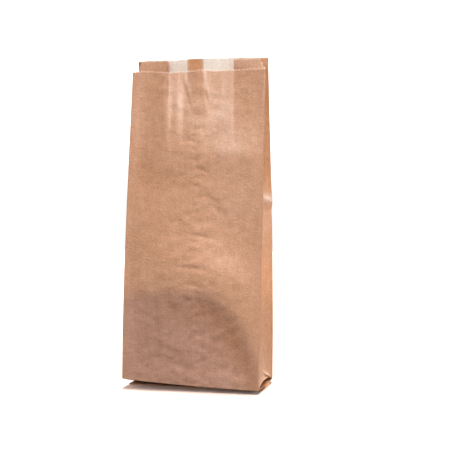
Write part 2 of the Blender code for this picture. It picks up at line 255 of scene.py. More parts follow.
# creases pressed into the front, in mm on the panel: x and z of the middle, half the length, how far
# the ends hang below the middle, turn in degrees, half width, height (below 0 a groove)
creases = np.array([
    # the column of small crescents up the middle
    (1, 260.5, 8, 1, 6, 1.6, -0.41), (1.5, 253.5, 6, 2, -6, 1.5, -0.36),
    (-4, 248.5, 10, 2.5, -14, 1.7, -0.54), (-1, 239.5, 6, 2, -18, 1.5, -0.36),
    (-3, 229.5, 9, 2.5, -12, 1.7, -0.51), (3, 222, 6, 2, 0, 1.6, -0.28),
    (1, 211, 7, 1, 8, 1.7, -0.28), (2, 203, 7, 2, 0, 1.7, -0.36),
    (3, 184, 7, 2, 0, 1.7, -0.33), (3, 176, 10, 3, -6, 1.9, -0.44), (5, 167, 8, 2, 0, 1.6, -0.28),
    (1, 147, 6, -3, 0, 1.5, -0.31), (2.5, 130.5, 7, 2, -5, 1.8, -0.44), (0, 139, 7, 2, 8, 1.7, -0.31),
    (2.5, 97.6, 7, 2, 0, 1.7, -0.33), (3, 89.5, 9, 3, -5, 1.8, -0.41), (2, 81, 7, 2, 0, 1.7, -0.31),
    (6, 73, 6, 2, 0, 1.7, -0.28), (5, 64, 7, 2, 0, 1.7, -0.26),
    # the longer arcs beside it
    (7, 219, 13, 5, -14, 2.2, -0.70), (17, 191, 14, 5, -20, 2.2, -0.54), (22, 181, 9, 2, -38, 2, -0.38),
    (8, 153, 22, 3, -10, 2.2, -0.64), (0, 121.5, 22, 3, -7, 2, -0.67), (2, 104, 18, 3, -6, 2, -0.46),
    (-14, 214, 10, 2, 15, 2, -0.31), (-18, 187, 12, 2, -12, 2.2, -0.31), (-10, 165, 10, 1, -30, 2, -0.33),
    # the seam pressing through below the mouth: a V of two grooves, flutes beside it
    (-9, 291, 28, 0, -68, 2, -0.33), (9, 296, 24, 0, -76, 1.8, -0.36), (4, 275, 9, 1, 0, 2.5, -0.31),
    (-33.6, 282, 48, 0, 88, 1.1, 0.18), (-29.4, 282, 48, 0, 88, 1.1, 0.20),
    (-25, 285, 34, 0, 88, 1.5, -0.26), (-20.5, 285, 38, 0, 88, 2.5, 0.44),
    (-13.5, 288, 34, 0, 86, 2.5, -0.44),
    (37.4, 285, 46, 0, 88, 1.1, 0.20), (24.6, 300, 24, 0, 88, 2.2, 0.26), (31, 300, 30, 0, 88, 2.5, -0.26),
])


# the sum of all creases: across each a bell, along it a bump that ends softly
def creaseRelief(x, z):
    total = np.zeros(np.broadcast(x, z).shape)
    for cx, cz, half, hang, turn, width, height in creases * ([mm] * 4 + [math.pi / 180, mm, mm]):
        u = (x - cx) * math.cos(turn) + (z - cz) * math.sin(turn)
        v = (z - cz) * math.cos(turn) - (x - cx) * math.sin(turn)
        along = np.clip(1 - (u / half) ** 2, 0, 1)
        total += height * along ** 1.5 * bell(v + hang * (u / half) ** 2, width)
    return total


# dents and bulges of the front, in mm: x, z, reach across, down and up, turn in degrees, height, and
# a power: 2 is round, 1 has a sharp ridge
dents = np.array([
    (42, 238, 40, 60, 34, -1, 1.9, 1), (-24, 236, 24, 60, 70, 0, 1.2, 2),
    (-50, 214, 16, 20, 26, 8, -0.9, 2), (34, 190, 26, 14, 20, -24, 0.8, 2),
    (-6, 178, 22, 14, 18, -16, 0.4, 2), (-42, 160, 20, 30, 30, 0, 0.5, 2),
    (24, 120, 36, 40, 22, -24, 1.6, 1), (-24, 128, 26, 18, 24, 14, 0.7, 2),
    (-22, 86, 24, 9, 9, -57, -0.8, 2), (-4, 66, 14, 10, 12, 35, 0.5, 2), (-20, 42, 12, 9, 12, -50, 0.5, 2),
    (12, 40, 16, 16, 18, -45, 0.7, 2), (34, 26, 14, 10, 14, -45, 0.6, 2), (-50, 44, 16, 24, 28, 0, 0.6, 2),
    (0, 14, 80, 9, 14, 0, 1.0, 2),
])


# the sum of the rows of such a table
def patchSum(table, x, z):
    total = np.zeros(np.broadcast(x, z).shape)
    for cx, cz, wide, down, up, turn, height, power in table * ([mm] * 5 + [math.pi / 180, 1, 1]):
        u = (x - cx) * math.cos(turn) + (z - cz) * math.sin(turn)
        v = (z - cz) * math.cos(turn) - (x - cx) * math.sin(turn)
        total += height * np.exp(-(u / wide) ** 2 - np.abs(v / np.where(v > 0, up, down)) ** power)
    return total


crinkles = {
    "waves": 60,
    "lengths": (6 * mm, 20 * mm),
    "height": 0.017,  # of the wave's length
    "everywhere": 0.55,
    "low": (0.45, 10 * mm, 20 * mm),  # more below the arch: how much, from how far above it, over what
    "column": (0.4, 1 * mm, 18 * mm),  # and up the middle: how much, where, half width
    "seed": 5,
}


# crumpled paper: many plane waves of all directions and phases, strongest low down and up the middle
def crinkleRelief(x, z):
    draw = np.random.default_rng(crinkles["seed"])
    lengths = np.geomspace(*crinkles["lengths"], crinkles["waves"])
    turns, phases = draw.uniform(0, 2 * np.pi, (2, crinkles["waves"]))
    total = np.zeros(np.broadcast(x, z).shape)
    for length, turn, phase in zip(lengths, turns, phases):
        total += length * np.sin(2 * np.pi / length * (x * math.cos(turn) + z * math.sin(turn)) + phase)
    low, above, over = crinkles["low"]
    column, middle, width = crinkles["column"]
    share = crinkles["everywhere"] + low * ramp(archHeight(x) + above - z, 0, over)
    share = share + column * bell(x - middle, width)
    return crinkles["height"] * share * total / math.sqrt(crinkles["waves"])


def fineRelief(x, z):
    return creaseRelief(x, z) + mm * patchSum(dents, x, z) + crinkleRelief(x, z)


# painted light: lighter patches of the front, as rows like the dents' with a share for the height
paintedLightPatches = np.array([
    (38, 239, 36, 8, 44, 0, 0.34, 2), (24, 124, 34, 12, 24, -24, 0.14, 2),
    (30, 186, 28, 28, 36, 0, 0.14, 2), (-66, 40, 12, 60, 80, 0, 0.08, 2),
    (-60, 300, 9, 70, 60, 0, 0.14, 2), (-66, 200, 7, 90, 90, 0, 0.08, 2),
    (36, 222, 38, 12, 10, 0, 0.09, 2), (38, 127, 32, 8, 12, -33, 0.11, 2),
    (-22, 196, 11, 4, 4, -19, 0.09, 2), (4, 184, 6, 2.5, 2.5, -21, 0.08, 2),
    (4, 162, 13, 4.5, 4.5, -16, 0.11, 2), (26, 148, 9, 5, 5, -36, 0.10, 2),
    (3.5, 150.8, 4.5, 1.2, 1.2, -10, 0.16, 2), (32, 20, 24, 9, 10, -42, 0.05, 2),
    (54, 190, 16, 60, 40, 0, 0.06, 2), (0, 50, 18, 9, 9, -20, 0.08, 2),
    # lines of light beside the creases of the gussets behind
    (-29.2, 284, 1.9, 36, 50, 2.3, 0.19, 2), (-35, 300, 0.9, 20, 30, 2, 0.16, 2),
    (-17.3, 284, 3.4, 34, 24, 3, 0.26, 2), (38.1, 268, 1.0, 26, 30, 1.5, 0.12, 2),
    (27, 303, 1.3, 8, 8, 0, 0.14, 2), (24, 276, 15, 5, 6, 22, 0.10, 2),
    # along the pressed V, and on the right fold near the mouth
    (-12.6, 315, 1.2, 8, 9, 0, 0.22, 2), (-9.5, 307, 4, 1.4, 1.4, -37, 0.22, 2),
    (69.4, 306, 1.0, 22, 20, 0, 0.4, 2), (7.8, 313, 1.1, 10, 12, 0, 0.30, 2),
    (11.8, 298, 9, 1.1, 1.1, -76, 0.24, 2), (2.2, 288, 6, 6, 5, 0, 0.20, 2),
])
# painted shade: darker, redder patches of the front, where its dents, its folds and the layers behind keep
# light off
paintedShadePatches = np.array([
    (-50, 214, 18, 18, 26, 0, 0.55, 2), (44, 52, 14, 30, 30, -50, 0.2, 2),
    (-44, 296, 8, 60, 40, 0, 0.22, 2), (52, 300, 12, 40, 40, 0, 0.10, 2),
    (27, 260, 10, 6, 7, 20, 0.25, 2), (-31.7, 308, 0.7, 16, 16, 2, 0.5, 2),
    (-12.2, 302, 11, 1.8, 1.8, -70, 0.45, 2), (-7.5, 288, 8, 1.8, 1.8, -72, 0.45, 2),
    (-2, 278.5, 6, 1.9, 1.9, -38, 0.38, 2), (7, 274.6, 7, 1.9, 1.9, -7, 0.35, 2),
    (9.4, 295, 9, 1.7, 1.7, -75, 0.42, 2),
    # beside the column of creases
    (-18, 210, 16, 8, 8, -35, 0.35, 2), (9, 214.5, 9, 2.2, 2.2, -23, 0.4, 2),
    (15, 191, 11, 3.2, 3.2, -26, 0.4, 2), (29.5, 179.5, 10, 3.2, 3.2, -56, 0.4, 2),
    (6, 174, 10, 3, 3, 0, 0.25, 2), (-13.6, 163, 10, 3.5, 3.5, 84, 0.3, 2),
    (-1, 156, 13, 1.6, 1.6, -14, 0.45, 2), (1, 148, 5, 1.2, 1.2, -13, 0.5, 2),
    (-6, 134.5, 9, 2.5, 2.5, -29, 0.35, 2),
    # down the left side, and below the arch
    (-52, 170, 22, 50, 40, 0, 0.3, 2), (-24, 76, 22, 8, 8, -32, 0.2, 2),
    (-19, 79, 14, 4.5, 4.5, -51, 0.35, 2), (-14, 36, 7, 4, 4, -42, 0.3, 2),
])
# the same two tables for the right gusset, with the place across it from -35 to 35
gussetPaintedLight = np.array([
    (15, 11.0, 9, 1.0, 1.0, -19, 0.9, 2), (29, 192, 9, 4.5, 5, -20, 0.5, 2),
    (25, 172, 30, 62, 42, 0, 0.32, 2),
])
gussetPaintedShade = np.array([
    (11.4, 57, 32, 2.2, 2.2, 75, 0.35, 2), (24, 40, 20, 30, 30, 0, 0.2, 2),
])

# painted shade in folds that hardly any light reaches, on the front and on the right gusset
hollows = np.array([
    (-31.7, 308, 0.6, 16, 14, 2, 0.30, 2), (-24, 76, 22, 8, 8, -32, 0.06, 2),
])
gussetFoldShade = np.array([(17, 8.1, 9, 0.7, 0.7, -14, 0.75, 2)])

# painted shade in the folds of the foot and of the mouth: how dark, and where
shade = {
    "foot": 0.9,  # the slit and the hole at its right end
    "rightEnd": 50 * mm,  # they lie to the right of this
    "slitEdge": 61.9 * mm,
    "slitFlare": (6.4 * mm, 14 * mm, 17.5 * mm),  # how far the edge runs outwards, from which y, over what
    "slitBlur": (-0.8 * mm, 0.4 * mm),
    "hole": (0.3, -0.9, -9.6 * mm, 1.8 * mm),  # how deep in the fold, how near the front, y, half width
    "leftGusset": (0.35, 300 * mm, 322 * mm),  # its back half: how dark, growing between which heights
    "arch": 0.16,
}

# painted light and shade, as shares: how much light is painted as coming through the sheet, and how much
# is held back; a strip is given by the places between which it rises and falls
glow = {
    "creases": (-36 * mm, -30 * mm, 36 * mm, 40 * mm),  # the front's strip with no gusset behind it
    "front": (0.31, 225 * mm, 300 * mm),  # how much comes through it, growing between which heights
    "seamKeeps": 0.8,  # how much of that the seam behind keeps out
    "seamBlur": 0.4 * mm,
    "inner": (-39 * mm, -36 * mm, 38 * mm, 41 * mm),  # the back's strip, seen through the mouth
    "innerLight": (0.96, 0.3, 12 * mm, 9 * mm),  # all over, and a painted glare spot: how much more, where, half width
    "innerRise": (270 * mm, 318 * mm),
    "innerFront": 0.4,
    "innerGusset": (0.08, 0.36, 290 * mm, 312 * mm),  # left, right, growing between which heights
    "innerFold": (0.1, 0.5, -0.75, -0.15, 320 * mm, 328 * mm),  # painted shade: all over, more by the middle fold
    "innerOrange": 0.6,
    "seamOutside": 0.12,
    "middleFold": (-0.1, 0.1),
    "lowGusset": (0.3, 70 * mm, 110 * mm),  # its painted orange glow at the foot, growing between which heights
    "cornerFlap": (0.2, 0.4, 48 * mm, 60 * mm),  # painted glow on the folded bottom: how deep in the fold and how far right it shows
    "upper": (0.75, 30 * mm, 120 * mm),  # the upper bag painted lighter than the lower, on the back and the gussets
    "upperFront": (-9 * mm, 14 * mm),  # below and above the arch
}


# painted light and shade at each point, as shares from 0 to 1: red for light painted as shining through one
# layer near the mouth, green for painted shade in folds, dents and at the arch's foot and for the seam's
# lap, blue for the painted orange glow of the gusset's half that faces forward, lit from behind, and alpha
# for the upper bag, painted lighter than the lower
def sheetTones(points, kind, side, where, outside, fold):
    z = points[..., 2]
    front, onGusset, back = kind == 0, kind == 1, kind == 2
    onRight = onGusset * (side > 0)
    x = np.where(onGusset, side * halfWidth, where)
    across = where * halfGusset
    inCreases = window(x, *glow["creases"])
    blur = glow["seamBlur"]
    overSeam = window(x, seamLeft - blur, seamLeft + blur, seamRight - blur, seamRight + blur)
    if outside:
        # painted light through the front near the mouth, less in the seam's U, and the painted light
        # patches
        light, low, high = glow["front"]
        paintedBacklight = front * inCreases * light * ramp(z, low, high) * (1 - glow["seamKeeps"] * seamShade(x, z))
        paintedBacklight = paintedBacklight + front * patchSum(paintedLightPatches, x, z)
        facing = ramp(where, *glow["middleFold"])
        paintedBacklight = paintedBacklight + onRight * facing * patchSum(gussetPaintedLight, across, z)
        # painted shade: the shade patches and the arch's foot on the front, the gusset's shade patches; the
        # seam's lap on the back
        lapped = back * overSeam * glow["seamOutside"] + onRight * patchSum(gussetPaintedShade, across, z)
        lapped = lapped + front * (patchSum(paintedShadePatches, x, z) + archShade(x, z))
        # the painted orange glow of the gusset's forward half, weaker low down
        least, low, high = glow["lowGusset"]
        gusset = onGusset * facing * mix(least, 1, ramp(z, low, high))
        # the folded bottom: a painted glow on the flap at the right corner, painted shade everywhere else
        into, full, left, right = glow["cornerFlap"]
        flap = ramp(fold, into, full) * ramp(x, left, right) * (where > 0)
        gusset = np.where(fold > 0, flap, gusset)
        lapped = lapped + (fold > 0) * (1 - flap)
    else:
        # painted light through the back's inner face near the mouth, with a painted glare, and through the
        # front and gussets
        light, more, middle, width = glow["innerLight"]
        paintedBacklight = back * window(x, *glow["inner"]) * (light + more * bell(x - middle, width))
        paintedBacklight = paintedBacklight * (1 - overSeam) * ramp(z, *glow["innerRise"])
        paintedBacklight = paintedBacklight + front * inCreases * glow["innerFront"]
        left, right, low, high = glow["innerGusset"]
        paintedBacklight = paintedBacklight + onGusset * ramp(z, low, high) * np.where(side > 0, right, left)
        # painted shade in the inner gussets, most by the middle fold near the mouth; painted orange on the
        # inner seam and right gusset
        least, more, outer, inner, low, high = glow["innerFold"]
        lapped = onGusset * (least + more * ramp(where, outer, inner) * ramp(-z, -high, -low))
        gusset = back * overSeam + onRight * glow["innerOrange"]
    # the upper bag painted lighter than the lower: on the front above the arch, elsewhere higher up
    least, low, high = glow["upper"]
    aboveArch = ramp(archDistance(x, z), *glow["upperFront"])
    upper = np.where(front, aboveArch, mix(least, 1, ramp(z, low, high)))
    tones = [paintedBacklight, lapped, gusset, np.where(fold > 0, 0, upper)]
    return np.clip(np.stack(np.broadcast_arrays(*tones), axis=-1), 0, 1)


# painted shade in the folds: the slit and the hole of the foot's right corner, the left gusset behind
# the step in the mouth, the creases of the tables and the arch's foot
def hollowShare(points, kind, side, where, fold):
    x, y, z = points[..., 0], points[..., 1], points[..., 2]
    onGusset = kind == 1
    flare, start, run = shade["slitFlare"]
    lip = shade["slitEdge"] + flare * np.clip((y - start) / run, 0, 1) ** 3
    slit = (fold > 0) * (where > 0) * ramp(lip - x, *shade["slitBlur"])
    into, nearFront, middle, width = shade["hole"]
    hole = (fold > into) * (where < nearFront) * onGusset * bell(y - middle, width)
    dark = shade["foot"] * (slit + hole) * (x > shade["rightEnd"])
    dark += onGusset * (side > 0) * patchSum(gussetFoldShade, where * halfGusset, z)
    much, low, high = shade["leftGusset"]
    dark += onGusset * (side < 0) * (where > 0) * much * ramp(z, low, high)
    dark += (kind == 0) * (patchSum(hollows, where, z) + shade["arch"] * archShade(where, z))
    return np.clip(dark, 0, 1)


seamShadeU = {  # painted shade: the seam behind shades the front below the mouth, within a U
    "bottom": 275 * mm,
    "height": 45 * mm,
    "left": (2 * mm, -13 * mm),  # at the bottom, at the mouth
    "right": (12 * mm, 6 * mm),
    "blur": (4 * mm, 3 * mm),
    "rise": (268 * mm, 290 * mm),
}


# the U: its left side a root curve, its right side straight
def seamShade(x, z):
    depth = np.clip((z - seamShadeU["bottom"]) / seamShadeU["height"], 0, 1)
    left = mix(*seamShadeU["left"], np.sqrt(depth))
    right = mix(*seamShadeU["right"], depth)
    softLeft, softRight = seamShadeU["blur"]
    return ramp(x - left, 0, softLeft) * ramp(right - x, 0, softRight) * ramp(z, *seamShadeU["rise"])


archFoot = {  # the foot of the arch's step is in its own shade, on the right
    "strength": 0.66,
    "below": 10 * mm,
    "above": 10 * mm,  # half widths of the shade upwards and downwards
    "under": 15 * mm,
    "across": (-24 * mm, 20 * mm),
}


def archShade(x, z):
    above = archDistance(x, z) + archFoot["below"]
    width = np.where(above > 0, archFoot["above"], archFoot["under"])
    return archFoot["strength"] * bell(above, width) * ramp(x, *archFoot["across"])


# panel: the upright plane of its lines, pushed out by the sum of the reliefs
def frontWall(x, w, fine):
    z = mix(frontLift(x), frontEdge(x), w)
    relief = archRelief(x, z) + mouthRelief(x, z) + swellRelief(x, w) + fine(x, z)
    return place(sheetX(x, w, 0), frontY(x, w) - relief * edgeWindow(x), z)


def backWall(x, w, fine):
    z = mix(bag["backLift"], backEdge(x), w)
    waves, swell, rest = bag["backShares"]
    relief = waves * mouthRelief(-x, z) + swell * swellRelief(-x, w) + rest * fine(-x, z)
    return place(sheetX(x, w, 1), backY(x, w) + relief * edgeWindow(x), z)


# the gusset's lower edge: a parabola over its width, leaning to the front
def pocket(a):
    return bag["pocketHeight"] * (1 - a * a) * (1 - bag["pocketLean"] * a)


def gussetTop(side, a):
    edge = side * halfWidth
    fromFold = (a + 1) * halfGusset
    step = np.where(side < 0, ramp(fromFold, *bag["mouthStepLeft"]), ramp(fromFold, *bag["mouthStepRight"]))
    return mix(frontEdge(edge), backEdge(edge) - bag["gussetDrop"] * (1 - a) / 2, step)


# creases of the right gusset, as rows like the dents', with the place across it and the height inwards
gussetDents = np.array([
    (15, 11.2, 11, 1.2, 1.2, -19, -2.0, 1), (16, 8.3, 11, 1.0, 1.0, -14, 1.6, 1),
    (29, 189, 8, 3, 7, -25, -1.6, 1), (28, 179, 7, 6, 4, 0, 0.7, 2), (14, 70, 2.4, 60, 50, 3, 0.9, 2),
    (30, 300, 1.6, 60, 60, 0, -0.3, 2),
])


# gusset: a parabola inwards low down that gives way to a V higher up, both of the sheet's own width
def gussetWall(side, a, w):
    edge = side * halfWidth
    front = frontY(edge, w)
    back = backY(edge, w)
    depth = back - front
    slack = np.maximum(bag["gussetWidth"] - depth, 0)
    low = mix(frontLift(edge), bag["backLift"], (a + 1) / 2) + pocket(a)
    z = mix(low, gussetTop(side, a), w)
    sharp = np.sqrt(np.maximum(halfGusset ** 2 - (depth / 2) ** 2, 0)) * (1 - np.abs(a))
    soft = np.sqrt(3 / 8 * slack * depth) * (1 - a * a)
    inward = mix(soft, sharp, ramp(z, *bag["buckle"]))
    inward = inward + (side > 0) * mm * patchSum(gussetDents, a * halfGusset, z)
    return place(sheetX(edge, w, (a + 1) / 2) - side * inward, mix(front, back, (a + 1) / 2), z)


# highest layer of the pinched hem: 1, or 3 where the tucked gussets add two
def stackTop(x):
    reach = np.abs(x) - innerX
    before, after = bag["stackEdge"]
    return 1 + 2 * ramp(reach, before * halfGusset, after * halfGusset)


def layerZ(level):
    return bag["paper"] / 2 + level * layer


# the bottom's halves: level with the stack at the pinched line, curving up to the creases
def frontBottom(x, t):
    z = mix(layerZ(stackTop(x) + 1), frontLift(x), (1 - t) ** bag["bottomCurve"][0])
    return place(x, -halfGusset * (1 - t), z)


def backBottom(x, t):
    y = halfGusset * (1 - t)
    rise = np.maximum(y - bag["footDepth"], 0) / (halfGusset - bag["footDepth"])
    return place(x, y, mix(layerZ(0), bag["backLift"], rise ** bag["bottomCurve"][1]))


# near its folds the gusset lies on the bottom; inside the diagonals it spans the two halves
def gussetBottom(side, a, t):
    first = bag["bottomSteps"][0] / bag["linesOnHalfGusset"] * 2
    share = 1 - np.abs(a)
    rise = layer * np.minimum(t / first, 1)
    x = side * (halfWidth - halfGusset * share)
    lie = np.where((a < 0)[..., None], frontBottom(x, t), backBottom(x, t))
    lie[..., 2] += rise * np.minimum(0.5 + 0.5 * share / first, 1)
    crease = share > 1 - tiny
    lie[..., 2] = np.where(crease, (lie[..., 2] + backBottom(x, t)[..., 2] + rise) / 2, lie[..., 2])
    xIn = side * (halfWidth - halfGusset * t)
    across = np.clip(a / np.maximum(1 - t, tiny), -1, 1)
    span = mix(frontBottom(xIn, t), backBottom(xIn, t), ((across + 1) / 2)[..., None])
    span[..., 2] += 1.5 * rise + (1 - t) ** bag["pocketFade"] * pocket(across)
    lies = (share < t - tiny) | (t > 1 - tiny)
    return np.where(lies[..., None], lie, span)


# a layer goes round the nose as half a circle and then lies under the front half
def hemPoint(x, level, turn, run):
    top = stackTop(x)
    y = -bag["hemLength"] * run
    stays = place(x, y - layer * turn * (1 - run), layerZ(level))
    axis = layerZ(top + 0.5)
    radius = axis - layerZ(level)
    angle = np.pi * turn
    turns = place(x, y + radius * np.sin(angle), axis + radius * np.cos(angle))
    return np.where((level < top / 2)[..., None], stays, turns)


def hemGusset(side, a, turn, run):
    x = side * (halfWidth - halfGusset * (1 - np.abs(a)))
    one = np.ones_like(x)
    upper, lower = hemPoint(x, 2 * one, turn, run), hemPoint(x, one, turn, run)
    front = (a < 0)[..., None]
    tucked = np.where(front, upper, lower)
    panel = hemPoint(x, np.where(a < 0, 3.0, 0.0), turn, run)
    middle = (np.abs(a) < tiny)[..., None]
    fold = (np.abs(a) > 1 - tiny)[..., None]
    return np.where(middle, (upper + lower) / 2, np.where(fold, (tucked + panel) / 2, tucked))


# the sheet's lines in one closed loop: front left to right, gusset, back, gusset. Returns what
# each lies on, its side, its place there and its distance along the sheet
def sheetLines():
    front, back, g = bag["linesOnFront"], bag["linesOnBack"], bag["linesOnHalfGusset"]
    ahead = np.linspace(-halfWidth, halfWidth, front + 1)[1:-1]
    behind = np.linspace(halfWidth, -halfWidth, back + 1)[1:-1]
    for edge, out in ((seamLeft, -1), (seamRight, 1)):  # the nearest two lines move to the lap's edge
        nearest = np.argsort(np.abs(behind - edge))[:2]
        behind[nearest] = edge, edge + out * bag["paper"]
    behind = np.sort(behind)[::-1]
    shares = np.linspace(-1, 1, 2 * g + 1)
    counts = [len(ahead), len(shares), len(behind), len(shares)]
    kind = np.repeat([0, 1, 2, 1], counts)
    side = np.repeat([0.0, 1.0, 0.0, -1.0], counts)
    where = np.concatenate([ahead, shares, behind, shares[::-1]])
    along = np.concatenate([
        halfWidth + ahead,
        2 * halfWidth + halfGusset * (1 + shares),
        3 * halfWidth + 2 * halfGusset - behind,
        4 * halfWidth + 2 * halfGusset + halfGusset * (1 + shares),
    ])
    return kind, side, where, along


# the rows from the hem's cut end round the nose, over the bottom and up the walls
def sheetRows():
    hem = [(1, k / bag["hemRows"]) for k in range(bag["hemRows"], 0, -1)]
    nose = [(k / bag["noseRows"], 0) for k in range(bag["noseRows"], 0, -1)]
    bottom = [k / bag["linesOnHalfGusset"] for k in reversed(bag["bottomSteps"])]
    wall = np.linspace(0, 1, bag["wallRows"] + 1)
    much, fast = bag["footCrowd"]
    wall *= 1 - much * (1 - wall) ** fast
    return np.array(hem + nose), np.array(bottom), wall


# every point of the sheet's middle, zone by zone
def sheetPoints(kind, side, where, fine):
    hem, bottom, wall = sheetRows()
    g, f, b = kind == 1, kind == 0, kind == 2
    hemBlock = np.zeros((len(hem), len(kind), 3))
    turn, run = hem[:, :1], hem[:, 1:]
    hemBlock[:, g] = hemGusset(side[g], where[g], turn, run)
    hemBlock[:, f] = hemPoint(where[f], stackTop(where[f]), turn, run)
    hemBlock[:, b] = hemPoint(where[b], 0 * where[b], turn, run)
    bottomBlock = np.zeros((len(bottom), len(kind), 3))
    t = bottom[:, None]
    bottomBlock[:, g] = gussetBottom(side[g], where[g], t)
    bottomBlock[:, f] = frontBottom(where[f], t)
    bottomBlock[:, b] = backBottom(where[b], t)
    wallBlock = np.zeros((len(wall), len(kind), 3))
    w = wall[:, None]
    wallBlock[:, g] = gussetWall(side[g], where[g], w)
    wallBlock[:, f] = frontWall(where[f], w, fine)
    wallBlock[:, b] = backWall(where[b], w, fine)
    return np.concatenate([hemBlock, bottomBlock, wallBlock])


def unit(vectors):
    return vectors / np.maximum(np.linalg.norm(vectors, axis=-1, keepdims=True), 1e-12)


# offsets to both faces of the paper: each corner's mitre solves normal . offset = 1 for the
# faces round it, cut short where the paper stands out
def mitredOffsets(points, triangles):
    flat = points.reshape(-1, 3)
    corners = flat[triangles]
    normal = unit(np.cross(corners[:, 1] - corners[:, 0], corners[:, 2] - corners[:, 0]))
    matrix = np.zeros((len(flat), 3, 3))
    total = np.zeros((len(flat), 3))
    inwards = np.zeros((len(flat), 3))
    keepSolvable = 2e-4  # a little of each axis, where the faces lie in one plane
    square = normal[:, :, None] * normal[:, None, :] + keepSolvable * np.eye(3)
    for k in range(3):
        one = unit(corners[:, (k + 1) % 3] - corners[:, k])
        two = unit(corners[:, (k + 2) % 3] - corners[:, k])
        angle = np.arccos(np.clip((one * two).sum(1), -1, 1))[:, None]
        np.add.at(matrix, triangles[:, k], angle[:, :, None] * square)
        np.add.at(total, triangles[:, k], angle * normal)
        np.add.at(inwards, triangles[:, k], angle * (one + two))
    mitre = np.linalg.solve(matrix, total[:, :, None])[:, :, 0]
    length = np.linalg.norm(mitre, axis=1, keepdims=True)
    blunt, full = [mitre * np.minimum(1, limit / length) for limit in bag["mitreLimits"]]
    standsOut = ((inwards * mitre).sum(1) < 0)[:, None]
    half = bag["paper"] / 2
    outer = np.where(standsOut, blunt, full) * half
    inner = -np.where(standsOut, full, blunt) * half
    return outer.reshape(points.shape), inner.reshape(points.shape)


# the grid's cells as corner numbers; on a gusset the cut across a cell follows the diagonal fold
def gridCells(rows, kind, side, where):
    columns = len(kind)
    low = np.arange(rows - 1)[:, None] * columns
    high = low + columns
    j = np.arange(columns)
    k = (j + 1) % columns
    cells = np.stack([low + j, low + k, high + k, high + j], axis=-1)
    turned = np.roll(cells, -1, axis=-1)
    onGusset = (kind == 1) | (np.roll(kind, -1) == 1)
    a = np.where(kind == 1, where, np.roll(where, -1))
    s = np.where(kind == 1, side, np.roll(side, -1))
    falling = onGusset & ((a < 0) == (s > 0))
    return np.where(falling[None, :, None], turned, cells).reshape(-1, 4)


# teeth half a pitch apart along the sheet: each one's line, its share of the way to the next
# line, and its rise, tip and root by turns
def toothRow(along):
    around = along[-1]
    step = bag["toothPitch"] / 2
    count = round(around / step)
    spot = along[0] + step * np.arange(count)
    line = np.searchsorted(along, spot + tiny, side="right") - 1
    gap = np.diff(np.append(along, around + along[0]))
    (much, fast), (little, slow) = bag["toothWear"]
    wear = 1 + much * np.sin(fast * np.arange(count)) + little * np.sin(slow * np.arange(count))
    isTip = np.arange(count) % 2 == 0
    rise = np.where(isTip, bag["toothDepth"] * wear, bag["toothRoot"])
    return line, (spot - along[line]) / gap[line], rise, spot, isTip


def alongRow(row, line, share):
    return mix(row[line], np.roll(row, -1, axis=0)[line], share[:, None])


# triangles between two closed rims: both rims' steps in the order of their distance, each one a
# triangle from its own two points to the point that the other rim has reached
def zipRims(low, lowSpot, high, highSpot, around):
    n, m = len(low), len(high)
    reached = [np.append(spot[1:], spot[0] + around) for spot in (lowSpot, highSpot)]
    isLow = np.arange(n + m) < n
    order = np.argsort(np.round(np.concatenate(reached), 7), kind="stable")
    isLow = isLow[order]
    i = np.cumsum(isLow) - isLow
    j = np.cumsum(~isLow) - ~isLow
    lowTriangles = np.stack([low[i % n], low[(i + 1) % n], high[j % m]], axis=-1)
    highTriangles = np.stack([low[i % n], high[(j + 1) % m], high[j % m]], axis=-1)
    return np.where(isLow[:, None], lowTriangles, highTriangles)


# the relief that the inner face follows: the lowest of the outer one's within a few rows
def underRelief(x, z):
    return np.min([fineRelief(x, z + k * bag["underStep"]) for k in range(-3, 4)], axis=0)


